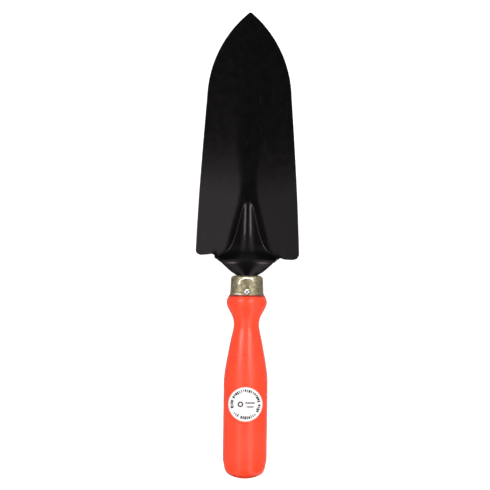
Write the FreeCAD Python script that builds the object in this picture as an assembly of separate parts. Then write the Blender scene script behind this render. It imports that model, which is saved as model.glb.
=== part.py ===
import FreeCAD, Part
import math
import os

# A hand transplanter: a narrow garden trowel with a pressed steel blade, a round steel tang welded
# behind the blade's cranked neck, a turned wooden handle, a plated ferrule and one small screw.
# All sizes are in millimetres.
#
# The tool lies on its back on the plane Z = 0, resting on the grip and on the underside of the
# blade. X runs across it, Y along it towards the tip and Z up, out of the blade's hollow face.
# While it is modelled, the butt end is at Y = 0. main() then moves the origin under its middle.

Vector = FreeCAD.Vector

# ---- driving dimensions ---------------------------------------------------------------------
TOOL_LENGTH = 320.0
HANDLE_LENGTH = 125.8        # from the butt end to the ledge that the ferrule stands on
GRIP_RADIUS = 15.0
GRIP_START = 21.0            # the straight, cylindrical stretch of the grip
GRIP_END = 65.0
FERRULE_LENGTH = 13.2
FERRULE_WALL = 0.8
SHEET = 1.5                  # thickness of the blade's steel
BLADE_HALF_WIDTH = 35.3      # at the shoulders
BLADE_SHOULDER = 151.4       # lower edge of the shoulders
TANG_RADIUS = 3.5
LABEL_DIAMETER = 23.5
LABEL_CENTRE = 51.5
LABEL_THICKNESS = 0.08

# ---- values worked out from them ------------------------------------------------------------
AXIS_Z = GRIP_RADIUS         # height of the handle's axis
FERRULE_TOP = HANDLE_LENGTH + FERRULE_LENGTH

# ---- blade: its surface, as stations (Y, value) along the tool ------------------------------
SPINE_LOW_Y = 232.0          # where the underside of the blade touches the plane Z = 0
SPINE_RADIUS = 1000.0        # the blade is slightly dished along its length
NECK_LIFT = [(138, 7.0), (143, 5.0), (147, 2.5), (151, 0.0), (154, 0.0)]
CREST_Z = [(138, 21.5), (144, 20.7), (148, 20.1), (150, 19.4), (152.5, 17.4), (156.3, 13.5),
           (160, 11.0), (163.5, 9.5), (167.5, 8.1), (171.4, 7.0), (181.7, 4.5), (192, 2.25), (200, 0.3)]
CREST_RADIUS = [(139, 9.3), (141, 15.0), (143, 26.0), (145, 33.0), (147, 42.0), (149.5, 36.0),
                (152, 15.0), (157, 8.0), (171, 7.4), (192, 6.0)]
RIB_FILLET = 2.5             # at the foot of the rib
RIB_FLANK = math.radians(42.0)
FLOOR_HALF_WIDTH = [(138, 20.0), (151, 18.3), (154, 15.3), (157, 12.8), (171, 9.2), (182, 6.2),
                    (192, 3.4), (204, 0.8), (212, 0.0)]
WING_BEND_RADIUS = [(175, 18.0), (185, 19.0), (197, 27.0), (215, 60.0), (250, 150.0), (322, 250.0)]
WING_ANGLE = [(178, 12.0), (190, 11.7), (210, 8.6), (240, 4.8), (322, 1.0)]

# ---- blade: the grid that its surface is interpolated on ------------------------------------
GRID_COLUMNS = 41
GRID_CROWDING = 1.8          # columns crowd towards the middle, where the rib is
GRID_HALF_WIDTH = 39.0
GRID_START = 133.0
GRID_STEP = 1.5              # spacing of the rows along the neck
GRID_GROWTH = 1.045          # and its growth from row to row beyond GRID_FINE_END
GRID_FINE_END = 163.0
GRID_END = 323.0


def along(stations, y):
    """Smooth, monotone interpolation between stations (y, value). Constant beyond both ends."""
    if y <= stations[0][0]:
        return stations[0][1]
    if y >= stations[-1][0]:
        return stations[-1][1]
    slopes = [(b[1] - a[1]) / (b[0] - a[0]) for a, b in zip(stations[:-1], stations[1:])]
    index = max(i for i in range(len(slopes)) if stations[i][0] <= y)

    def tangent(i):
        if i == 0 or i == len(slopes):
            return slopes[min(i, len(slopes) - 1)]
        before, after = slopes[i - 1], slopes[i]
        return 2.0 * before * after / (before + after) if before * after > 0.0 else 0.0

    (y0, v0), (y1, v1) = stations[index], stations[index + 1]
    span = y1 - y0
    t = (y - y0) / span
    rise = t * t * (3.0 - 2.0 * t)
    bulge = t * (1.0 - t) * span * (tangent(index) * (1.0 - t) - tangent(index + 1) * t)
    return v0 + (v1 - v0) * rise + bulge


def floor_z(y):
    """Height of the blade's trough along its middle, without the rib."""
    return SHEET + (y - SPINE_LOW_Y) ** 2 / (2.0 * SPINE_RADIUS) + along(NECK_LIFT, y)


def wing(x, y):
    """Rise of the wings over the trough: a level floor, a bend, and a straight slope."""
    angle = math.radians(along(WING_ANGLE, y))
    radius = along(WING_BEND_RADIUS, y)
    beyond_floor = x - along(FLOOR_HALF_WIDTH, y)
    if beyond_floor <= 0.0:
        return 0.0
    if beyond_floor < radius * math.sin(angle):
        return radius - math.sqrt(radius ** 2 - beyond_floor ** 2)
    beyond_bend = beyond_floor - radius * math.sin(angle)
    return radius * (1.0 - math.cos(angle)) + beyond_bend * math.tan(angle)


def rib(x, y):
    """Rise of the pressed rib, which is also the neck: round crest, straight flank and fillet."""
    height = along(CREST_Z, y) - floor_z(y)
    if height <= 0.0:
        return 0.0
    radius = along(CREST_RADIUS, y)
    both = radius + RIB_FILLET
    angle = math.acos(max(math.cos(RIB_FLANK), 1.0 - height / both))
    flank = (height - both * (1.0 - math.cos(angle))) / math.tan(angle)
    crest_end = radius * math.sin(angle)
    foot = crest_end + flank + RIB_FILLET * math.sin(angle)
    if x < crest_end:
        return height - radius + math.sqrt(radius ** 2 - x ** 2)
    if x < crest_end + flank:
        return height - radius * (1.0 - math.cos(angle)) - (x - crest_end) * math.tan(angle)
    if x < foot:
        return RIB_FILLET - math.sqrt(RIB_FILLET ** 2 - (foot - x) ** 2)
    return 0.0


def front_height(x, y):
    return floor_z(y) + wing(abs(x), y) + rib(abs(x), y)


def front_normal(x, y):
    step = 0.02
    slope_x = (front_height(x + step, y) - front_height(x - step, y)) / (2.0 * step)
    slope_y = (front_height(x, y + step) - front_height(x, y - step)) / (2.0 * step)
    return Vector(-slope_x, -slope_y, 1.0).normalize()


def grid_rows():
    """Y of each row of the grid: close together along the neck, further apart along the blade."""
    rows = [GRID_START]
    step = GRID_STEP
    while rows[-1] < GRID_END:
        if rows[-1] > GRID_FINE_END:
            step *= GRID_GROWTH
        rows.append(rows[-1] + step)
    return rows


def sheet_faces():
    """The blade's front and back surfaces, larger than its outline all round."""
    front, back = [], []
    for y in grid_rows():
        front_row, back_row = [], []
        for column in range(GRID_COLUMNS):
            s = 2.0 * column / (GRID_COLUMNS - 1.0) - 1.0
            x = GRID_HALF_WIDTH * math.sinh(GRID_CROWDING * s) / math.sinh(GRID_CROWDING)
            point = Vector(x, y, front_height(x, y))
            front_row.append(point)
            back_row.append(point - front_normal(x, y) * SHEET)
        front.append(front_row)
        back.append(back_row)
    faces = []
    for grid in (front, back):
        surface = Part.BSplineSurface()
        surface.interpolate(grid)
        faces.append(surface.toShape())
    return faces


# ---- blade: its outline ---------------------------------------------------------------------
TIP_ROUNDING = 1.6           # half the width of the rounded point
SIDE_END_Y = TOOL_LENGTH - 58.0      # where the straight sides end and the point's arcs begin
SIDE_END_X = 29.0
CORNER_RADIUS = 3.5
CUSP_X = 21.9                # inner end of each shoulder
NECK_HALF_WIDTH = 7.0        # at the ferrule's mouth
TAIL_HALF_WIDTH = 5.3        # of the short tail inside the ferrule
TAIL_LENGTH = 4.0


def blade_outline():
    """The blade's outline seen from above, as one closed wire at Z = 0."""
    low = BLADE_SHOULDER
    mouth = FERRULE_TOP - 0.1

    def arc(side, *points):
        return Part.Arc(*[Vector(side * x, y, 0.0) for x, y in points]).toShape()

    def half(side):
        corner = BLADE_HALF_WIDTH - CORNER_RADIUS
        corner_middle = corner + CORNER_RADIUS * math.cos(math.pi / 4)
        funnel = [(CUSP_X - 0.9, low), (15.9, 146.0), (11.0, 141.7), (NECK_HALF_WIDTH, mouth),
                  (TAIL_HALF_WIDTH, FERRULE_TOP - TAIL_LENGTH)]
        curve = Part.BSplineCurve()
        curve.interpolate([Vector(side * x, y, 0.0) for x, y in funnel])
        return [
            arc(side, (TIP_ROUNDING, TOOL_LENGTH - 0.95), (24.1, TOOL_LENGTH - 33.0),
                (SIDE_END_X, SIDE_END_Y)),
            arc(side, (SIDE_END_X, SIDE_END_Y), (32.7, SIDE_END_Y - 54.0),
                (BLADE_HALF_WIDTH, low + CORNER_RADIUS)),
            arc(side, (BLADE_HALF_WIDTH, low + CORNER_RADIUS),
                (corner_middle, low + CORNER_RADIUS * (1.0 - math.sin(math.pi / 4))), (corner, low)),
            arc(side, (corner, low), (27.6, low + 0.35), (CUSP_X + 1.6, low + 1.1)),
            arc(side, (CUSP_X + 1.6, low + 1.1), (CUSP_X + 0.3, low + 0.9), (CUSP_X - 0.9, low)),
            curve.toShape(),
        ]

    nose = arc(1, (-TIP_ROUNDING, TOOL_LENGTH - 0.95), (0.0, TOOL_LENGTH),
               (TIP_ROUNDING, TOOL_LENGTH - 0.95))
    tail_y = FERRULE_TOP - TAIL_LENGTH
    tail = line((-TAIL_HALF_WIDTH, tail_y), (TAIL_HALF_WIDTH, tail_y))
    return Part.Wire(Part.__sortEdges__(half(1) + half(-1) + [nose, tail]))


def make_blade():
    """The part of the outline's prism that lies between the sheet's two surfaces."""
    wire = blade_outline()
    wire.translate(Vector(0.0, 0.0, -40.0))
    prism = Part.Face(wire).extrude(Vector(0.0, 0.0, 80.0))
    front, back = sheet_faces()
    above = front.extrude(Vector(0.0, 0.0, 90.0))
    below = back.extrude(Vector(0.0, 0.0, -90.0))
    return prism.cut(above).cut(below).Solids[0]


# ---- turned parts ---------------------------------------------------------------------------
def line(start, end):
    return Part.LineSegment(Vector(start[0], start[1], 0), Vector(end[0], end[1], 0)).toShape()


def polyline(points):
    return [line(a, b) for a, b in zip(points[:-1], points[1:])]


def turned(edges):
    """A solid of revolution about the handle's axis. The edges' X is the radius."""
    face = Part.Face(Part.Wire(Part.__sortEdges__(edges)))
    solid = face.revolve(Vector(0, 0, 0), Vector(0, 1, 0), 360.0)
    solid.translate(Vector(0, 0, AXIS_Z))
    return solid


FERRULE_MOUTH_RADIUS = 7.9
FERRULE_TOP_RADIUS = 11.0
FERRULE_WAIST_RADIUS = 11.35
FERRULE_FOOT_RADIUS = 11.65
FERRULE_CORNER = 2.6
FERRULE_FLARE = 2.2          # height of the slight flare at its foot


def ferrule_radii():
    """(radius, y) of the ferrule's outside, from its foot to the start of its rounded top."""
    return [(FERRULE_FOOT_RADIUS, HANDLE_LENGTH),
            (FERRULE_WAIST_RADIUS, HANDLE_LENGTH + FERRULE_FLARE),
            (FERRULE_TOP_RADIUS, FERRULE_TOP - FERRULE_CORNER)]


def make_ferrule():
    """A drawn cap with a rounded top and a round mouth for the neck of the blade."""
    centre_r = FERRULE_TOP_RADIUS - FERRULE_CORNER
    centre_y = FERRULE_TOP - FERRULE_CORNER

    def corner(radius):
        middle = radius / math.sqrt(2.0)
        return Part.Arc(Vector(centre_r + radius, centre_y, 0),
                        Vector(centre_r + middle, centre_y + middle, 0),
                        Vector(centre_r, centre_y + radius, 0)).toShape()

    outside = ferrule_radii()
    inside = [(r - FERRULE_WALL, y) for r, y in outside]
    rim = [(centre_r, FERRULE_TOP), (FERRULE_MOUTH_RADIUS, FERRULE_TOP),
           (FERRULE_MOUTH_RADIUS, FERRULE_TOP - FERRULE_WALL), (centre_r, FERRULE_TOP - FERRULE_WALL)]
    edges = polyline(outside) + polyline(inside) + polyline(rim)
    edges += [corner(FERRULE_CORNER), corner(FERRULE_CORNER - FERRULE_WALL)]
    edges.append(line(outside[0], inside[0]))
    return turned(edges)


NOSE_TOP = FERRULE_TOP - TAIL_LENGTH - 0.5     # the wood inside the ferrule ends below the tail


def make_handle():
    """Turned wood: domed butt, cylindrical grip, waist, bead, and a nose inside the ferrule."""
    ledge = (FERRULE_FOOT_RADIUS + 0.1, HANDLE_LENGTH)
    dome_edge = (10.5, 2.55)
    dome = Part.Arc(Vector(0, 0, 0), Vector(6.3, 0.9, 0), Vector(*dome_edge, 0)).toShape()
    butt = Part.BSplineCurve()
    butt.interpolate([Vector(r, y, 0) for r, y in
                      [dome_edge, (12.7, 4.5), (13.9, 7.4), (14.6, 11.2), (GRIP_RADIUS, GRIP_START)]],
                     InitialTangent=Vector(1.0, 0.53, 0), FinalTangent=Vector(0, 1, 0))
    front = Part.BSplineCurve()
    front.interpolate([Vector(r, y, 0) for r, y in
                       [(GRIP_RADIUS, GRIP_END), (14.1, 75.7), (12.2, 86.7), (10.0, 97.7),
                        (8.65, 105.9), (9.85, 111.4), (12.75, 116.9), (13.8, 121.0),
                        (12.9, 124.2), ledge]],
                      InitialTangent=Vector(0, 1, 0), FinalTangent=Vector(-1.0, 0.45, 0))
    foot, waist, top = [(r - FERRULE_WALL, y) for r, y in ferrule_radii()]
    share = (NOSE_TOP - waist[1]) / (top[1] - waist[1])
    nose = (waist[0] + (top[0] - waist[0]) * share, NOSE_TOP)
    edges = [dome, butt.toShape(), line((GRIP_RADIUS, GRIP_START), (GRIP_RADIUS, GRIP_END)),
             front.toShape()]
    edges += polyline([ledge, foot, waist, nose, (0.0, NOSE_TOP), (0.0, 0.0)])
    return turned(edges)


# ---- tang and its welds ---------------------------------------------------------------------
TANG_POINT = 72.0            # where its driven point ends inside the wood
TANG_TAPER = 16.0
TANG_PATH = [(TANG_POINT + TANG_TAPER, AXIS_Z), (144.0, AXIS_Z), (156.8, 6.7), (162.0, 4.4)]
TANG_BENDS = [8.0, 7.0]      # radii of its two bends
WELD_START = Vector(4.6, 154.5, 9.8)
WELD_END = Vector(4.9, 161.0, 5.1)
WELD_RADIUS = 2.3


def make_tang():
    """A round rod with a driven point. It is cranked down to lie in the hollow behind the rib."""
    points = [Vector(0, y, z) for y, z in TANG_PATH]
    edges = []
    here = points[0]
    for before, corner, after, radius in zip(points[:-2], points[1:-1], points[2:], TANG_BENDS):
        into = (corner - before).normalize()
        away = (after - corner).normalize()
        turn = into.getAngle(away)
        reach = radius * math.tan(turn / 2.0)
        start, end = corner - into * reach, corner + away * reach
        inward = (away - into).normalize()
        middle = corner + inward * (radius / math.cos(turn / 2.0) - radius)
        edges += [Part.LineSegment(here, start).toShape(), Part.Arc(start, middle, end).toShape()]
        here = end
    edges.append(Part.LineSegment(here, points[-1]).toShape())
    section = Part.Wire(Part.makeCircle(TANG_RADIUS, points[0], Vector(0, 1, 0)))
    rod = Part.Wire(edges).makePipeShell([section], True, True)
    point = Part.makeCone(0.9, TANG_RADIUS, TANG_TAPER, Vector(0, TANG_POINT, AXIS_Z), Vector(0, 1, 0))
    return Part.Solid(rod.Shells[0]).fuse(point).Solids[0]


def make_welds(blade, tang):
    """One fillet of weld on each side of the tang, in the corner below the rib."""
    beads = []
    for side in (-1, 1):
        ends = [Vector(side * end.x, end.y, end.z) for end in (WELD_START, WELD_END)]
        run = ends[1] - ends[0]
        bead = Part.makeCylinder(WELD_RADIUS, run.Length, ends[0], run)
        bead = bead.fuse([Part.makeSphere(WELD_RADIUS, end) for end in ends])
        bead = bead.cut(blade).cut(tang)
        beads.append(max(bead.Solids, key=lambda solid: solid.Volume))
    return Part.makeCompound(beads)


# ---- ferrule screw --------------------------------------------------------------------------
SCREW_Y = HANDLE_LENGTH + 2.25
SCREW_SEAT_Z = AXIS_Z + 11.3         # underside of the head, on the outside of the ferrule
SCREW_HEAD_RADIUS = 2.15
SCREW_HEAD_HEIGHT = 1.05
SCREW_SHANK_RADIUS = 1.1
SCREW_LENGTH = 6.5
SCREW_TAPER = 2.0
RECESS_LENGTH = 3.4
RECESS_WIDTH = 0.62
RECESS_DEPTH = 0.75
RECESS_TURN = 45.0


def make_screw():
    """A small round-head screw with a cross recess and a pointed shank."""
    dome_radius = (SCREW_HEAD_RADIUS ** 2 + SCREW_HEAD_HEIGHT ** 2) / (2.0 * SCREW_HEAD_HEIGHT)
    seat = Vector(0, SCREW_Y, SCREW_SEAT_Z)
    down = Vector(0, 0, -1)
    dome = Part.makeSphere(dome_radius, seat + down * (dome_radius - SCREW_HEAD_HEIGHT))
    dome = dome.cut(Part.makeBox(20, 20, 20, seat - Vector(10, 10, 20)))
    rim = Part.makeCylinder(SCREW_HEAD_RADIUS, 0.4, seat, down)
    straight = SCREW_LENGTH - SCREW_TAPER
    shank = Part.makeCylinder(SCREW_SHANK_RADIUS, straight, seat, down)
    tip = Part.makeCone(SCREW_SHANK_RADIUS, 0.15, SCREW_TAPER, seat + down * straight, down)
    screw = dome.fuse([rim, shank, tip]).removeSplitter()
    recess_floor = seat + Vector(0, 0, SCREW_HEAD_HEIGHT - RECESS_DEPTH)
    for length, width in ((RECESS_LENGTH, RECESS_WIDTH), (RECESS_WIDTH, RECESS_LENGTH)):
        slot = Part.makeBox(length, width, 3.0, recess_floor - Vector(length / 2, width / 2, 0))
        slot.rotate(seat, Vector(0, 0, 1), RECESS_TURN)
        screw = screw.cut(slot)
    return screw.Solids[0]


def make_label():
    """A round paper sticker that follows the grip's curve."""
    start = Vector(0, LABEL_CENTRE - LABEL_DIAMETER, AXIS_Z)
    outer, inner = [Part.makeCylinder(radius, 2.0 * LABEL_DIAMETER, start, Vector(0, 1, 0))
                    for radius in (GRIP_RADIUS + LABEL_THICKNESS, GRIP_RADIUS)]
    disc = Part.makeCylinder(LABEL_DIAMETER / 2, 2.0 * GRIP_RADIUS, Vector(0, LABEL_CENTRE, AXIS_Z))
    return outer.cut(inner).common(disc).Solids[0]


def main():
    blade = make_blade()
    tang = make_tang()
    screw = make_screw()
    nodes = {
        "blade": blade,
        "tang": tang,
        "tang_welds": make_welds(blade, tang),
        "ferrule": make_ferrule().cut(screw),
        "ferrule_screw": screw,
        "handle": make_handle().cut(tang).cut(screw),
        "label": make_label(),
    }
    os.makedirs("parts", exist_ok=True)
    for name, shape in nodes.items():
        shape.translate(Vector(0, -TOOL_LENGTH / 2.0, 0))
        shape.exportStep("parts/" + name + ".step")


main()
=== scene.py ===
import math

import bpy
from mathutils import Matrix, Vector


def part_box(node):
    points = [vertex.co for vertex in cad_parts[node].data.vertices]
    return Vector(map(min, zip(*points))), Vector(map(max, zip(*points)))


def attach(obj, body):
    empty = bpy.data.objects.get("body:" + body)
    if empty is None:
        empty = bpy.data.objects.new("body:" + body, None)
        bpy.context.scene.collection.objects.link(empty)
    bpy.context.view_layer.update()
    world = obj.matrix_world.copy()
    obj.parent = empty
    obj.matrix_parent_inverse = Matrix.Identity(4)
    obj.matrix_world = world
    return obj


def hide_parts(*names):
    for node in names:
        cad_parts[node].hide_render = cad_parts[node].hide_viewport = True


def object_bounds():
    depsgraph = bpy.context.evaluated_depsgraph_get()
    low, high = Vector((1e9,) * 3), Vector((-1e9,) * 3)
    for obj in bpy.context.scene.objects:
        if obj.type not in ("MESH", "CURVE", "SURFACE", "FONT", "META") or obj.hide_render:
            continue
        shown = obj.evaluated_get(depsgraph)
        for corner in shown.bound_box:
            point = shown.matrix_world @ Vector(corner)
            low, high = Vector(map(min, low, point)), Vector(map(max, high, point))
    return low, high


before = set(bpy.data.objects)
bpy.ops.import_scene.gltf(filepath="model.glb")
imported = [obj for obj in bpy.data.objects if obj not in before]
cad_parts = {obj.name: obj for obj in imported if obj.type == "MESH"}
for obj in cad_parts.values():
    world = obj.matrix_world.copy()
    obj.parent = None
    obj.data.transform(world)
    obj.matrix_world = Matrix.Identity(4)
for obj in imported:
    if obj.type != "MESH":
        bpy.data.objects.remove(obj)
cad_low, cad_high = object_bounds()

# A hand transplanter, seen from straight above its hollow face. The frame has X across the tool,
# Y along it towards the tip and Z up. It lies on its back on the floor, Z = 0.
# The blade is drawn in millimetres, with Y from the butt end, as in the part's source. Materials
# use the frame's own coordinates, in millimetres. Lights, floor and camera are in metres.

MM = 0.001
BUTT_Y = cad_low.y
TOOL_LENGTH = (cad_high.y - cad_low.y) / MM
HANDLE_LOW, HANDLE_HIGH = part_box("handle")
AXIS_Z = (HANDLE_LOW.z + HANDLE_HIGH.z) / 2.0


def place(x, y, z):
    """A point given in millimetres, with Y from the butt end, in the frame."""
    return Vector((x * MM, BUTT_Y + y * MM, z * MM))


# ---- blade: nearly the same surface and outline as the pressed sheet in the part's source -----
# Tables of stations hold (y, value), and `along` reads them.
SHEET = 1.5                  # thickness of the steel
SPINE_LOW_Y = 232.0          # the sheet is dished along its length, and lowest here
SPINE_RADIUS = 1000.0
NECK_LIFT = [(138, 7.0), (143, 5.0), (147, 2.5), (151, 0.0), (154, 0.0)]

# The pressed rib, which widens into the neck: the height of its crest and the crest's radius
# across the tool, then its flank's slope and the radius of the fillet at its foot.
CREST_Z = [(138, 21.5), (144, 20.7), (148, 20.1), (150, 19.4), (152.5, 17.4), (156.3, 13.5),
           (160, 11.0), (163.5, 9.5), (167.5, 8.1), (171.4, 7.0), (181.7, 4.5), (187, 3.3),
           (190, 2.35), (194, 1.0), (200, 0.3)]
CREST_RADIUS = [(139, 9.3), (141, 15.0), (143, 26.0), (145, 33.0), (147, 42.0), (149.5, 36.0),
                (152, 15.0), (157, 8.0), (171, 7.4), (192, 6.0)]
RIB_FLANK = math.radians(42.0)
RIB_FILLET = 0.4

# The wings beside the rib: a level floor, a bend and a straight slope.
FLOOR_HALF_WIDTH = [(138, 20.0), (151, 18.3), (154, 15.3), (157, 12.8), (171, 9.2), (182, 6.2),
                    (192, 3.4), (204, 0.8), (212, 0.0)]
WING_BEND_RADIUS = [(175, 18.0), (185, 19.0), (197, 27.0), (215, 60.0), (250, 150.0), (322, 250.0)]
WING_ANGLE = [(178, 12.0), (190, 11.7), (210, 8.6), (240, 4.8), (322, 1.0)]

# The outline: a funnel from the ferrule up to the shoulders, round corners, two long arcs on each
# side and a rounded tip.
BLADE_HALF_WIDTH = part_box("blade")[1].x / MM
BLADE_SHOULDER = 151.4
CORNER_RADIUS = 3.5
CORNER_TOP_Y = BLADE_SHOULDER + CORNER_RADIUS
SIDE_END = (29.0, TOOL_LENGTH - 58.0)        # where the side's arc meets the point's arc
SIDE_MIDDLE = (32.7, SIDE_END[1] - 54.0)
POINT_MIDDLE = (24.1, TOOL_LENGTH - 33.0)
TIP_ROUNDING = 1.6
TIP_ROUNDING_DEPTH = 0.95
TIP_START_Y = TOOL_LENGTH - TIP_ROUNDING_DEPTH
NECK_HALF_WIDTH = 21.0                       # of the neck where it meets the shoulders
FUNNEL = [(135.0, 5.3), (138.9, 7.0), (141.7, 11.0), (146.0, 15.9),
          (BLADE_SHOULDER, NECK_HALF_WIDTH)]

# The shoulders' lower edges are wavy, and the left one is cut higher than the right one. The
# wave's stations hold (x, value).
SHOULDER_WAVE = [(21.0, 0.0), (22.2, 0.9), (23.5, 1.1), (27.6, 0.35), (31.8, 0.0)]
RIGHT_WAVE = 0.3             # the right shoulder has this share of the wave
SHOULDER_SKEW = 1.35         # the left shoulder is cut this much higher, the right one lower
SKEW_RUN = 4.5               # and the difference sets in over this much of their width
SHOULDER_FADE = 14.0         # how far up the blade the grid follows the cut

# The grid: evenly spaced columns beside the neck, and in the neck's strip columns that draw
# together towards its edges. A row's step is finest at the corners and at the tip.
NECK_COLUMNS = 54            # on each side of the middle
NECK_BUNCHING = 0.35
WING_COLUMNS = 22
FUNNEL_ROW_STEP = 0.6
BLADE_ROWS = [(BLADE_SHOULDER, CORNER_TOP_Y, 0.35), (CORNER_TOP_Y, 166.0, 0.7),
              (166.0, 200.0, 1.0), (200.0, 310.0, 1.7), (310.0, TIP_START_Y, 0.7),
              (TIP_START_Y, TOOL_LENGTH, 0.2)]
RIM_ROUNDING = 0.4
RIM_SEGMENTS = 3
RIM_ANGLE = math.radians(55.0)               # edges sharper than this are rounded


def smooth(t):
    """An S-curve from 0 to 1."""
    return t * t * (3.0 - 2.0 * t)


def along(stations, y):
    """Smooth, monotone interpolation between stations (y, value). Constant beyond both ends."""
    if y <= stations[0][0]:
        return stations[0][1]
    if y >= stations[-1][0]:
        return stations[-1][1]
    slopes = [(b[1] - a[1]) / (b[0] - a[0]) for a, b in zip(stations[:-1], stations[1:])]
    index = max(i for i in range(len(slopes)) if stations[i][0] <= y)

    def tangent(i):
        if i == 0 or i == len(slopes):
            return slopes[min(i, len(slopes) - 1)]
        before, after = slopes[i - 1], slopes[i]
        return 2.0 * before * after / (before + after) if before * after > 0.0 else 0.0

    (y0, v0), (y1, v1) = stations[index], stations[index + 1]
    span = y1 - y0
    t = (y - y0) / span
    bulge = t * (1.0 - t) * span * (tangent(index) * (1.0 - t) - tangent(index + 1) * t)
    return v0 + (v1 - v0) * smooth(t) + bulge


def floor_z(y):
    """Height of the trough's floor: the dished sheet, lifted towards the neck."""
    return SHEET + (y - SPINE_LOW_Y) ** 2 / (2.0 * SPINE_RADIUS) + along(NECK_LIFT, y)


def wing(x, y):
    """Rise of the wings over the trough: a level floor, a bend, and a straight slope."""
    angle = math.radians(along(WING_ANGLE, y))
    radius = along(WING_BEND_RADIUS, y)
    beyond_floor = x - along(FLOOR_HALF_WIDTH, y)
    if beyond_floor <= 0.0:
        return 0.0
    if beyond_floor < radius * math.sin(angle):
        return radius - math.sqrt(radius ** 2 - beyond_floor ** 2)
    beyond_bend = beyond_floor - radius * math.sin(angle)
    return radius * (1.0 - math.cos(angle)) + beyond_bend * math.tan(angle)


def rib(x, y):
    """Rise of the pressed rib, which is also the neck: round crest, straight flank and fillet."""
    height = along(CREST_Z, y) - floor_z(y)
    if height <= 0.0:
        return 0.0
    radius = along(CREST_RADIUS, y)
    both = radius + RIB_FILLET
    angle = math.acos(max(math.cos(RIB_FLANK), 1.0 - height / both))
    flank = (height - both * (1.0 - math.cos(angle))) / math.tan(angle)
    crest_end = radius * math.sin(angle)
    foot = crest_end + flank + RIB_FILLET * math.sin(angle)
    if x < crest_end:
        return height - radius + math.sqrt(radius ** 2 - x ** 2)
    if x < crest_end + flank:
        return height - radius * (1.0 - math.cos(angle)) - (x - crest_end) * math.tan(angle)
    if x < foot:
        return RIB_FILLET - math.sqrt(RIB_FILLET ** 2 - (foot - x) ** 2)
    return 0.0


def front_height(x, y):
    """Height of the blade's front face."""
    return floor_z(y) + wing(abs(x), y) + rib(abs(x), y)


def arc_x(p, q, r):
    """X as a function of Y on the circle through three points (x, y), on its outer side."""
    (ax, ay), (bx, by), (cx, cy) = p, q, r
    d = 2.0 * (ax * (by - cy) + bx * (cy - ay) + cx * (ay - by))
    a2, b2, c2 = ax * ax + ay * ay, bx * bx + by * by, cx * cx + cy * cy
    ux = (a2 * (by - cy) + b2 * (cy - ay) + c2 * (ay - by)) / d
    uy = (a2 * (cx - bx) + b2 * (ax - cx) + c2 * (bx - ax)) / d
    radius = math.hypot(ax - ux, ay - uy)
    return lambda y: ux + math.sqrt(max(0.0, radius ** 2 - (y - uy) ** 2))


side_x = arc_x(SIDE_END, SIDE_MIDDLE, (BLADE_HALF_WIDTH, CORNER_TOP_Y))
point_x = arc_x((TIP_ROUNDING, TIP_START_Y), POINT_MIDDLE, SIDE_END)


def half_width(y):
    """Half the blade's width at y, with level shoulders."""
    if y < BLADE_SHOULDER:
        return along(FUNNEL, y)
    if y < CORNER_TOP_Y:
        rise = CORNER_TOP_Y - y
        return BLADE_HALF_WIDTH - CORNER_RADIUS + math.sqrt(CORNER_RADIUS ** 2 - rise ** 2)
    if y < SIDE_END[1]:
        return side_x(y)
    if y < TIP_START_Y:
        return point_x(y)
    radius = (TIP_ROUNDING ** 2 + TIP_ROUNDING_DEPTH ** 2) / (2.0 * TIP_ROUNDING_DEPTH)
    return math.sqrt(max(0.0, radius ** 2 - (y - (TOOL_LENGTH - radius)) ** 2))


def shoulder_shift(x, y):
    """How far a point of the grid moves along Y, so that the shoulders' edges get their cut."""
    fade = max(0.0, 1.0 - (y - BLADE_SHOULDER) / SHOULDER_FADE) ** 2
    share = min(1.0, max(0.0, (abs(x) - NECK_HALF_WIDTH) / SKEW_RUN))
    skew = -math.copysign(SHOULDER_SKEW, x) * smooth(share)
    wave = along(SHOULDER_WAVE, abs(x)) * (1.0 if x < 0.0 else RIGHT_WAVE)
    return (wave + skew) * fade


def spread(start, end, step):
    """Evenly spaced values from start to end, about one step apart."""
    count = max(1, round((end - start) / step))
    return [start + (end - start) * i / count for i in range(count + 1)]


def mesh_object(name, points, faces):
    """A smooth-shaded object in the scene."""
    mesh = bpy.data.meshes.new(name)
    mesh.from_pydata(points, [], faces)
    mesh.update()
    for polygon in mesh.polygons:
        polygon.use_smooth = True
    piece = bpy.data.objects.new(name, mesh)
    bpy.context.scene.collection.objects.link(piece)
    return piece


def blade_grid():
    """Points and faces of the blade's front face, in rows from the neck's mouth to the tip."""
    inner = [math.sin(math.pi / 2 * s) * NECK_BUNCHING + s * (1.0 - NECK_BUNCHING)
             for s in spread(-1.0, 1.0, 1 / NECK_COLUMNS)]
    outer = spread(0.0, 1.0, 1 / WING_COLUMNS)[1:]
    shoulder_width = BLADE_HALF_WIDTH - CORNER_RADIUS
    points, faces, rows = [], [], []

    def add_row(y, xs):
        first = len(points)
        for x in xs:
            shift = shoulder_shift(x, y) if y >= BLADE_SHOULDER else 0.0
            points.append(place(x, y + shift, front_height(x, y)))
        rows.append(range(first, len(points)))

    for y in spread(FUNNEL[0][0], BLADE_SHOULDER, FUNNEL_ROW_STEP)[:-1]:
        add_row(y, [s * half_width(y) for s in inner])
    for start, end, step in BLADE_ROWS:
        for y in spread(start, end, step)[:-1]:
            width = half_width(y)
            strip = NECK_HALF_WIDTH * min(1.0, width / shoulder_width)
            right = [strip + s * (width - strip) for s in outer]
            add_row(y, [-x for x in reversed(right)] + [s * strip for s in inner] + right)

    for low_row, high_row in zip(rows[:-1], rows[1:]):
        margin = (len(high_row) - len(low_row)) // 2
        for i in range(len(low_row) - 1):
            j = margin + i
            faces.append((low_row[i], low_row[i + 1], high_row[j + 1], high_row[j]))
    tip = len(points)
    points.append(place(0.0, TOOL_LENGTH, front_height(0.0, TOOL_LENGTH)))
    faces += [(a, b, tip) for a, b in zip(rows[-1][:-1], rows[-1][1:])]
    return points, faces


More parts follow.
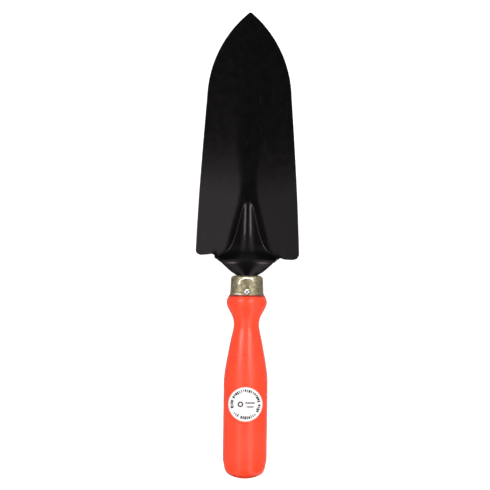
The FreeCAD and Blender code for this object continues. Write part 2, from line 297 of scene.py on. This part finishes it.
def make_blade():
    """The sheet as one clean grid, thickened downwards, with its rim rounded over."""
    blade = mesh_object("blade_sheet", *blade_grid())
    thickness = blade.modifiers.new("thickness", "SOLIDIFY")
    thickness.thickness = SHEET * MM
    thickness.offset = -1.0
    rim = blade.modifiers.new("rim", "BEVEL")
    rim.width = RIM_ROUNDING * MM
    rim.segments = RIM_SEGMENTS
    rim.limit_method = "ANGLE"
    rim.angle_limit = RIM_ANGLE
    rim.harden_normals = True
    return blade


# ---- node graphs ----------------------------------------------------------------------------
class Graph:
    """A node tree, with short forms for the nodes that this script needs."""

    def __init__(self, tree):
        self.tree = tree

    def feed(self, socket, value):
        """Links another node's output to the socket, or sets a plain value on it."""
        if isinstance(value, bpy.types.NodeSocket):
            self.tree.links.new(value, socket)
        else:
            socket.default_value = value

    def add(self, kind, **settings):
        node = self.tree.nodes.new(kind)
        for name, value in settings.items():
            setattr(node, name, value)
        return node

    def math(self, operation, a, b=0.0):
        node = self.add("ShaderNodeMath", operation=operation)
        self.feed(node.inputs[0], a)
        self.feed(node.inputs[1], b)
        return node.outputs[0]

    def times(self, a, b):
        """The product. Of two masks, it is the area that lies in both."""
        return self.math("MULTIPLY", a, b)

    def vector(self, operation, a, b=(0.0, 0.0, 0.0)):
        node = self.add("ShaderNodeVectorMath", operation=operation)
        self.feed(node.inputs[0], a)
        self.feed(node.inputs[1], b)
        return node.outputs["Value" if operation == "LENGTH" else "Vector"]

    def split(self, vector):
        node = self.add("ShaderNodeSeparateXYZ")
        self.feed(node.inputs[0], vector)
        return node.outputs

    def join(self, x, y, z):
        node = self.add("ShaderNodeCombineXYZ")
        for socket, value in zip(node.inputs, (x, y, z)):
            self.feed(socket, value)
        return node.outputs[0]

    def span(self, value, low, high, to_low=0.0, to_high=1.0):
        """Maps low..high onto to_low..to_high, smoothly and held at both ends."""
        node = self.add("ShaderNodeMapRange", interpolation_type="SMOOTHSTEP")
        self.feed(node.inputs["Value"], value)
        for name, number in (("From Min", low), ("From Max", high),
                             ("To Min", to_low), ("To Max", to_high)):
            node.inputs[name].default_value = number
        return node.outputs["Result"]

    def band(self, value, low, high, soft=0.06):
        """1 between low and high and 0 outside. Each edge is twice soft wide."""
        return self.times(self.span(value, low - soft, low + soft),
                          self.span(value, high - soft, high + soft, 1.0, 0.0))


class Paint(Graph):
    """A material's graph. Its coordinates are the frame's, in millimetres."""

    def __init__(self, name):
        self.material = bpy.data.materials.new(name)
        self.material.use_nodes = True
        super().__init__(self.material.node_tree)
        self.shader = self.tree.nodes["Principled BSDF"]
        where = self.add("ShaderNodeTexCoord").outputs["Object"]
        self.position = self.vector("MULTIPLY", where, (1.0 / MM, 1.0 / MM, 1.0 / MM))

    def stretched(self, x, y, z):
        """The position with each axis scaled. A small factor draws a texture out along its axis."""
        return self.vector("MULTIPLY", self.position, (x, y, z))

    def noise(self, scale, detail=3.0, vector=None, roughness=0.5):
        node = self.add("ShaderNodeTexNoise")
        self.feed(node.inputs["Vector"], self.position if vector is None else vector)
        node.inputs["Scale"].default_value = scale
        node.inputs["Detail"].default_value = detail
        node.inputs["Roughness"].default_value = roughness
        return node.outputs["Fac"]

    def cells(self, scale):
        """Distance to the nearest of many scattered points."""
        node = self.add("ShaderNodeTexVoronoi")
        self.feed(node.inputs["Vector"], self.position)
        node.inputs["Scale"].default_value = scale
        return node.outputs["Distance"]

    def chance(self, cell, seed):
        """A number from 0 to 1 that stays the same over each whole cell."""
        node = self.add("ShaderNodeTexWhiteNoise", noise_dimensions="2D")
        self.feed(node.inputs["Vector"], self.join(cell, seed, 0.0))
        return node.outputs["Value"]

    def mix(self, factor, a, b):
        node = self.add("ShaderNodeMix", data_type="RGBA")
        self.feed(node.inputs[0], factor)
        self.feed(node.inputs[6], a)
        self.feed(node.inputs[7], b)
        return node.outputs[2]

    def bump(self, height, distance, normal=None):
        """Height, in units of distance millimetres, bends the normal."""
        node = self.add("ShaderNodeBump")
        node.inputs["Distance"].default_value = distance * MM
        self.feed(node.inputs["Height"], height)
        if normal is not None:
            self.feed(node.inputs["Normal"], normal)
        return node.outputs["Normal"]

    def set(self, **sockets):
        """Feeds the shader's sockets. base_color stands for Base Color, coat_ior for Coat IOR."""
        for name, value in sockets.items():
            title = name.replace("_", " ").title().replace("Ior", "IOR")
            self.feed(self.shader.inputs[title], value)


def rgb(red, green, blue):
    """An opaque colour."""
    return (red, green, blue, 1.0)


# ---- materials ------------------------------------------------------------------------------
FERRULE_LOW, FERRULE_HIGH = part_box("ferrule")
LEDGE_Y = FERRULE_LOW.y / MM         # where the ferrule stands on the handle
PAINTED_SHADE_START = 1.7                     # painted shade on the handle begins this far below the ledge
PAINTED_SHADE_FULL = 0.5

# The ferrule's marks lie on its front, which faces up: a dent, and highlights painted into the
# colour. Pairs say where a mark's soft edge is full and where it has gone.
FRONT_Z = AXIS_Z / MM + 4.0
FRONT_SOFT = 1.0
DENT_Y = FERRULE_HIGH.y / MM - 5.4   # the middle of the shallow oval dent
DENT_HALF_WIDTH = 5.4
DENT_HALF_HEIGHT = 3.9
DENT_EDGE = (0.72, 1.0)              # shares of the oval's size
RIM_HALF_WIDTH = (0.03, 0.13)        # of the dent's rim, also shares of the oval's size
PAINTED_HIGHLIGHT_FROM = 0.3                    # a highlight is painted on the rim from this far above the dent's middle
PAINTED_HIGHLIGHT_SOFT = 1.4                    # and fully so this much higher
PAINTED_HIGHLIGHT_SLANT = 0.26                  # both limits rise by this share of x
GLINT_X = -6.4                       # a painted highlight, a glint on the lower edge
GLINT_Y = LEDGE_Y + 0.75
GLINT_HALF_WIDTH = (1.6, 2.8)
GLINT_HALF_HEIGHT = (0.25, 0.6)

SCREW_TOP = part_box("ferrule_screw")[1].z / MM
RECESS_FLOOR = SCREW_TOP - 0.75      # painted shade in the cross recess is full below this height
RECESS_MOUTH = SCREW_TOP - 0.35      # and gone above this one

# The label's print, measured from the label's middle.
LABEL_LOW, LABEL_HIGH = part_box("label")
LABEL_Y = (LABEL_LOW.y + LABEL_HIGH.y) / 2.0 / MM
LABEL_RADIUS = (LABEL_HIGH.y - LABEL_LOW.y) / 2.0 / MM
TICKS = 42.0                         # places for a tick round the label
TICKS_LEFT_OUT = 0.16                # the share of places that stay empty
TICK_HALF_WIDTH = (0.2, 0.44)        # of a place, from the narrowest to the widest
TICK_INNER_END = (8.1, 8.8)          # from the longest to the shortest
TICK_OUTER_END = 10.2
TICK_SIDE_SOFT = 0.04                # of a place
TICK_END_SOFT = 0.06
RING_X = -3.4
RING_RADII = (1.0, 1.9)
UPPER_DASHES_X = (-0.2, 6.4)
UPPER_DASHES_Y = (0.45, 1.5)
LOWER_DASHES_X = (0.9, 5.6)
LOWER_DASHES_Y = (-2.2, -1.25)
DASHES_PER_MM = 0.8
DASH_GAP = (0.16, 0.22)              # of each dash's place: bare up to here, printed from here
RIM_GREYING = (0.35, 0.15)                  # the label's edge greys between these distances from its rim


def black_paint(name, peel=0.006, sag=0.05, roughness=0.24):
    """Baked black paint over steel: orange peel, slow waves of the sheet, dust and scratches.
    peel and sag are the heights of the fine and the slow relief, in millimetres."""
    g = Paint(name)
    fine = g.noise(1.6, 2.0)
    slow = g.noise(0.06, 2.0, g.stretched(1.0, 0.6, 1.0))
    cloud = g.noise(0.22, 4.0)
    specks = g.span(g.cells(0.55), 0.05, 0.09, 1.0, 0.0)
    dust = g.times(specks, g.span(g.noise(0.9, 2.0), 0.55, 0.62))
    scratch = g.span(g.noise(1.0, 2.0, g.stretched(2.6, 0.035, 2.6)), 0.70, 0.75)

    base = g.mix(cloud, rgb(0.0013, 0.0013, 0.0013), rgb(0.0021, 0.0021, 0.0021))
    base = g.mix(g.times(scratch, 0.2), base, rgb(0.02, 0.019, 0.02))
    base = g.mix(g.times(dust, 0.25), base, rgb(0.05, 0.048, 0.045))
    rough = g.span(cloud, 0.3, 0.7, roughness - 0.02, roughness + 0.03)
    rough = g.math("ADD", rough, g.times(scratch, 0.08))
    normal = g.bump(slow, sag)
    normal = g.bump(fine, peel, normal)
    normal = g.bump(scratch, -0.002, normal)
    g.set(base_color=base, roughness=rough, normal=normal, coat_normal=normal)
    g.set(specular_ior_level=0.4, specular_tint=rgb(1.0, 0.84, 0.94))
    g.set(coat_weight=0.2, coat_roughness=0.14, coat_ior=1.5)
    return g.material


def handle_paint():
    """Orange-red semi-gloss paint on turned wood: soft grain and lathe rings show through it, and
    it is scuffed here and there. Shade is painted on it just below the ferrule, darker towards the
    ledge."""
    g = Paint("handle_paint")
    grain = g.noise(1.0, 4.0, g.stretched(0.9, 0.035, 0.9), 0.6)
    rings = g.noise(1.0, 2.0, g.stretched(0.0, 1.3, 0.0))
    peel = g.noise(0.9, 2.0)
    cloud = g.noise(0.07, 3.0)
    scuff = g.span(g.noise(1.0, 3.0, g.stretched(0.5, 0.12, 0.5)), 0.66, 0.74)
    _, y, _ = g.split(g.position)
    # painted shade: the handle darkens towards the ferrule's ledge
    painted_shade = g.span(y, LEDGE_Y - PAINTED_SHADE_START, LEDGE_Y - PAINTED_SHADE_FULL, 0.0, 0.92)

    base = g.mix(cloud, rgb(0.72, 0.038, 0.008), rgb(0.78, 0.048, 0.012))
    base = g.mix(g.span(grain, 0.35, 0.75, 0.0, 0.12), base, rgb(0.56, 0.028, 0.007))
    base = g.mix(g.times(scuff, 0.12), base, rgb(0.48, 0.028, 0.010))
    base = g.mix(painted_shade, base, rgb(0.16, 0.006, 0.003))
    rough = g.math("ADD", g.span(cloud, 0.3, 0.7, 0.27, 0.34), g.times(scuff, 0.12))
    normal = g.bump(grain, 0.03)
    normal = g.bump(rings, 0.010, normal)
    normal = g.bump(peel, 0.006, normal)
    g.set(base_color=base, roughness=rough, normal=normal, coat_normal=normal)
    g.set(specular_ior_level=0.5, coat_weight=0.4, coat_roughness=0.15, coat_ior=1.5)
    return g.material


def ferrule_marks(g):
    """Masks of the oval dent in the ferrule's front, and of the highlights painted there: on a part
    of the dent's rim and on a spot on the lower edge."""
    x, y, z = g.split(g.position)
    in_front = g.span(z, FRONT_Z - FRONT_SOFT, FRONT_Z + FRONT_SOFT)
    dent_y = g.math("SUBTRACT", y, DENT_Y)
    oval = g.join(g.math("DIVIDE", x, DENT_HALF_WIDTH),
                  g.math("DIVIDE", dent_y, DENT_HALF_HEIGHT), 0.0)
    uneven = g.span(g.noise(0.6, 2.0), 0.3, 0.7, -0.07, 0.07)
    oval = g.math("ADD", g.vector("LENGTH", oval), uneven)
    dent = g.times(g.span(oval, *DENT_EDGE, 1.0, 0.0), in_front)

    rim = g.span(g.math("ABSOLUTE", g.math("SUBTRACT", oval, 1.0)), *RIM_HALF_WIDTH, 1.0, 0.0)
    # painted highlight along the upper part of the dent's rim
    reach = g.math("SUBTRACT", dent_y, g.times(x, PAINTED_HIGHLIGHT_SLANT))
    painted_rim_highlight = g.times(rim, g.span(reach, PAINTED_HIGHLIGHT_FROM, PAINTED_HIGHLIGHT_FROM + PAINTED_HIGHLIGHT_SOFT))
    # a glint painted on the lower edge
    off_x = g.math("ABSOLUTE", g.math("SUBTRACT", x, GLINT_X))
    off_y = g.math("ABSOLUTE", g.math("SUBTRACT", y, GLINT_Y))
    glint = g.times(g.span(off_x, *GLINT_HALF_WIDTH, 1.0, 0.0),
                    g.span(off_y, *GLINT_HALF_HEIGHT, 1.0, 0.0))
    return dent, g.times(g.math("MAXIMUM", painted_rim_highlight, glint), in_front)


def ferrule_plating():
    """Dull yellow plating: cloudy tarnish, scratches round and along it, darker patches, and in
    front a shallow oval dent, with a highlight painted on part of its rim and a painted glint
    below."""
    g = Paint("ferrule_plating")
    cloud = g.noise(0.45, 4.0, roughness=0.65)
    patch = g.span(g.noise(0.24, 3.0), 0.5, 0.62)
    along_lines = g.span(g.noise(1.0, 3.0, g.stretched(4.0, 0.35, 4.0)), 0.64, 0.74)
    round_lines = g.span(g.noise(1.0, 3.0, g.stretched(0.3, 5.0, 0.3)), 0.64, 0.74)
    lines = g.math("MAXIMUM", along_lines, round_lines)
    dent, bright = ferrule_marks(g)

    base = g.mix(g.span(cloud, 0.32, 0.68), rgb(0.245, 0.195, 0.11), rgb(0.44, 0.40, 0.27))
    base = g.mix(g.times(patch, 0.4), base, rgb(0.17, 0.12, 0.07))
    base = g.mix(g.times(lines, 0.2), base, rgb(0.62, 0.59, 0.46))
    # painted highlights: the dent's rim and the glint on the lower edge
    base = g.mix(g.times(bright, 0.92), base, rgb(0.98, 0.96, 0.88))
    rough = g.span(cloud, 0.3, 0.7, 0.25, 0.38)
    normal = g.bump(g.noise(0.5, 3.0), 0.12)
    normal = g.bump(lines, -0.006, normal)
    normal = g.bump(dent, -0.14, normal)
    g.set(base_color=base, roughness=rough, normal=normal, metallic=0.75)
    return g.material


def screw_steel():
    """Bright zinc, slightly milky, with shade painted into the recess."""
    g = Paint("screw_steel")
    _, _, z = g.split(g.position)
    cloud = g.noise(1.4, 3.0)
    # painted shade, darker the deeper in the recess
    painted_shade = g.span(z, RECESS_FLOOR, RECESS_MOUTH, 0.9, 0.0)
    base = g.mix(cloud, rgb(0.80, 0.80, 0.82), rgb(0.95, 0.95, 0.96))
    base = g.mix(painted_shade, base, rgb(0.10, 0.09, 0.08))
    g.set(base_color=base, roughness=g.span(cloud, 0.3, 0.7, 0.2, 0.36), metallic=0.5)
    g.set(normal=g.bump(g.noise(2.2, 2.0), 0.02))
    return g.material


def printed_ticks(g, radius, angle):
    """A circle of plain ticks of uneven width and length, with some left out."""
    turn = g.times(angle, TICKS / (2.0 * math.pi))
    cell = g.math("FLOOR", turn)
    off_middle = g.math("ABSOLUTE", g.math("SUBTRACT", g.math("FRACT", turn), 0.5))
    half_tick = g.span(g.chance(cell, 2.0), 0.1, 0.9, *TICK_HALF_WIDTH)
    inner_end = g.span(g.chance(cell, 3.0), 0.1, 0.9, *TICK_INNER_END)
    beside = g.math("SUBTRACT", off_middle, half_tick)
    ticks = g.span(beside, -TICK_SIDE_SOFT, TICK_SIDE_SOFT, 1.0, 0.0)
    above_inner_end = g.math("SUBTRACT", radius, inner_end)
    ticks = g.times(ticks, g.span(above_inner_end, -TICK_END_SOFT, TICK_END_SOFT))
    above_outer_end = g.math("SUBTRACT", radius, TICK_OUTER_END)
    ticks = g.times(ticks, g.span(above_outer_end, -TICK_END_SOFT, TICK_END_SOFT, 1.0, 0.0))
    return g.times(ticks, g.math("GREATER_THAN", g.chance(cell, 1.0), TICKS_LEFT_OUT))


def printed_dashes(g, x, y):
    """Two rows of straight dashes, the lower one shorter."""
    upper = g.times(g.band(y, *UPPER_DASHES_Y), g.band(x, *UPPER_DASHES_X))
    lower = g.times(g.band(y, *LOWER_DASHES_Y), g.band(x, *LOWER_DASHES_X))
    dash = g.span(g.math("FRACT", g.times(x, DASHES_PER_MM)), *DASH_GAP)
    return g.times(g.math("MAXIMUM", upper, lower), dash)


def label_print():
    """Coated white paper printed with a circle of plain ticks, a plain small ring and two rows of
    straight dashes. Nothing on it is lettering or a mark."""
    g = Paint("label_print")
    x, y, _ = g.split(g.vector("SUBTRACT", g.position, (0.0, LABEL_Y, 0.0)))
    radius = g.vector("LENGTH", g.join(x, y, 0.0))
    ring_radius = g.vector("LENGTH", g.join(g.math("SUBTRACT", x, RING_X), y, 0.0))
    # the paper is greyed towards its rim
    greyed_rim = g.span(radius, LABEL_RADIUS - RIM_GREYING[0], LABEL_RADIUS - RIM_GREYING[1], 0.0, 0.6)

    base = g.mix(g.noise(0.8, 3.0), rgb(0.66, 0.66, 0.66), rgb(0.61, 0.61, 0.60))
    base = g.mix(printed_ticks(g, radius, g.math("ARCTAN2", y, x)), base, rgb(0.003, 0.003, 0.003))
    base = g.mix(g.band(ring_radius, *RING_RADII), base, rgb(0.012, 0.005, 0.004))
    base = g.mix(printed_dashes(g, x, y), base, rgb(0.05, 0.005, 0.004))
    base = g.mix(greyed_rim, base, rgb(0.2, 0.19, 0.18))
    g.set(base_color=base, roughness=g.span(g.noise(2.0), 0.3, 0.7, 0.42, 0.5))
    g.set(normal=g.bump(g.noise(1.5, 2.0), 0.003), specular_ior_level=0.4)
    return g.material


def floor_paint():
    """Pale studio floor. Its own faint light keeps it white under the tool."""
    g = Paint("floor_paint")
    cloud = g.noise(0.01, 3.0)
    g.set(base_color=g.mix(cloud, rgb(0.84, 0.84, 0.84), rgb(0.87, 0.87, 0.87)), roughness=0.7)
    g.set(emission_color=rgb(1.0, 1.0, 1.0), emission_strength=0.45)
    return g.material


def finish_with(piece, material):
    """Gives the whole piece this one material."""
    piece.data.materials.clear()
    piece.data.materials.append(material)


# ---- lights, surroundings, floor and camera -------------------------------------------------
TARGET = Vector((0.0, BUTT_Y + 0.5 * TOOL_LENGTH * MM, 0.0))    # the middle of the tool's length
LAMP_DISTANCE = 1.3
FILL_DISTANCE = 1.8
OVERHEAD_DISTANCE = 1.6
FLOOR_HALF = 4.0

CAMERA_DISTANCE = 2.4                        # above the handle's axis
VIEW_WIDTH = 1.0488 * TOOL_LENGTH * MM       # what the picture's width takes in, at the axis
LEAN = math.radians(0.76)                    # the tool leans clockwise in the picture
TOOL_RIGHT = 0.0051 * VIEW_WIDTH             # and its middle stands this far right of centre
SENSOR_WIDTH = 36.0


def area_light(name, direction, distance, width, height, radiance, reflected=True, only_on=()):
    """A soft box that faces the tool. direction points from the tool to the light. With only_on it
    lights those objects alone, and where it isn't reflected it gives only diffuse light."""
    data = bpy.data.lights.new(name, "AREA")
    data.shape = "RECTANGLE"
    data.size = width
    data.size_y = height
    data.energy = radiance * math.pi * width * height
    lamp = bpy.data.objects.new(name, data)
    bpy.context.scene.collection.objects.link(lamp)
    away = Vector(direction).normalized()
    lamp.location = TARGET + away * distance
    lamp.rotation_mode = "QUATERNION"
    lamp.rotation_quaternion = away.to_track_quat("Z", "Y")
    lamp.visible_camera = False
    lamp.visible_glossy = reflected
    if only_on:
        receivers = bpy.data.collections.new(name + "_receivers")
        for piece in only_on:
            receivers.objects.link(piece)
        lamp.light_linking.receiver_collection = receivers


def make_lights():
    """Two small soft boxes that the rib reflects as two streaks, wide fills, and narrow strips
    that only the wood or only the metal sees."""
    wood = [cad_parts["handle"]]
    metal = [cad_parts["ferrule"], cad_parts["ferrule_screw"]]
    near, fill = LAMP_DISTANCE, FILL_DISTANCE
    for name, sign in (("softbox_left", -1.0), ("softbox_right", 1.0)):
        area_light(name, (sign * 0.47, 0.44, 0.765), near, 0.20, 0.30, 6.0)
        area_light(name + "_fill", (sign * 0.85, 0.0, 0.53), fill, 2.0, 2.0, 1.05, reflected=False)
    area_light("overhead_fill", (0.0, 0.0, 1.0), OVERHEAD_DISTANCE, 2.4, 2.4, 2.0, reflected=False)
    area_light("butt_fill", (0.0, -0.85, 0.53), fill, 2.0, 1.6, 1.0, reflected=False)
    area_light("strip_waist_left", (-0.66, 0.32, 0.68), near, 0.14, 0.45, 5.6, only_on=wood)
    area_light("strip_waist_right", (0.38, 0.32, 0.87), near, 0.10, 0.45, 4.8, only_on=wood)
    area_light("strip_left", (-0.80, -0.05, 0.6), near, 0.22, 0.9, 3.5, only_on=metal)
    area_light("strip_right", (0.66, -0.05, 0.75), near, 0.16, 0.9, 2.5, only_on=metal)
    area_light("strip_tip", (0.0, 0.87, 0.5), near, 2.0, 0.2, 14.0, only_on=metal)


def make_world():
    """Soft studio surroundings: a bright strip on each side, between the dark overhead, where the
    camera is, and a dim horizon, and a faint haze beyond the tip. The strip at +X is the brighter
    one, and the blade's left wing reflects it."""
    world = bpy.data.worlds.new("studio")
    world.use_nodes = True
    bpy.context.scene.world = world
    g = Graph(world.node_tree)
    x, y, z = g.split(g.add("ShaderNodeTexCoord").outputs["Generated"])
    aside = g.math("ABSOLUTE", x)
    right = g.span(x, 0.18, 0.42, 0.0, 1.1)
    left = g.span(x, -0.50, -0.24, 0.86, 0.0)
    strips = g.times(g.math("ADD", left, right), g.span(aside, 0.56, 0.76, 0.82, 0.14))
    strips = g.times(strips, g.span(y, 0.50, 0.70, 1.0, 0.15))
    haze = g.times(g.span(y, 0.40, 0.80, 0.004, 0.26), g.span(aside, 0.1, 0.5, 0.75, 1.7))
    light = g.times(g.math("ADD", strips, haze), g.span(z, 0.0, 0.3, 0.5, 1.0))
    background = g.tree.nodes["Background"]
    g.feed(background.inputs["Strength"], light)
    g.feed(background.inputs["Color"], rgb(1.0, 1.0, 1.0))


def make_floor():
    half = FLOOR_HALF
    corners = [(-half, -half, 0.0), (half, -half, 0.0), (half, half, 0.0), (-half, half, 0.0)]
    floor = mesh_object("floor", corners, [(0, 1, 2, 3)])
    finish_with(floor, floor_paint())
    floor.visible_glossy = False


def make_camera():
    """Straight above the tool, far enough for an almost flat view."""
    data = bpy.data.cameras.new("camera")
    data.sensor_width = SENSOR_WIDTH
    data.lens = SENSOR_WIDTH * CAMERA_DISTANCE / VIEW_WIDTH
    camera = bpy.data.objects.new("camera", data)
    bpy.context.scene.collection.objects.link(camera)
    camera.rotation_euler = (0.0, 0.0, LEAN)
    camera.location = (TARGET.x - TOOL_RIGHT, TARGET.y, AXIS_Z + CAMERA_DISTANCE)
    bpy.context.scene.camera = camera


def main():
    make_camera()
    make_world()
    make_lights()
    make_floor()
    bpy.context.scene.view_settings.view_transform = "Standard"

    blade = make_blade()
    finish_with(blade, black_paint("blade_paint"))
    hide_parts("blade")
    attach(blade, "root")

    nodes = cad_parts
    finish_with(nodes["tang"], black_paint("tang_paint", roughness=0.34))
    finish_with(nodes["tang_welds"], black_paint("weld_paint", peel=0.05, sag=0.2, roughness=0.45))
    finish_with(nodes["ferrule"], ferrule_plating())
    finish_with(nodes["ferrule_screw"], screw_steel())
    finish_with(nodes["handle"], handle_paint())
    finish_with(nodes["label"], label_print())


main()
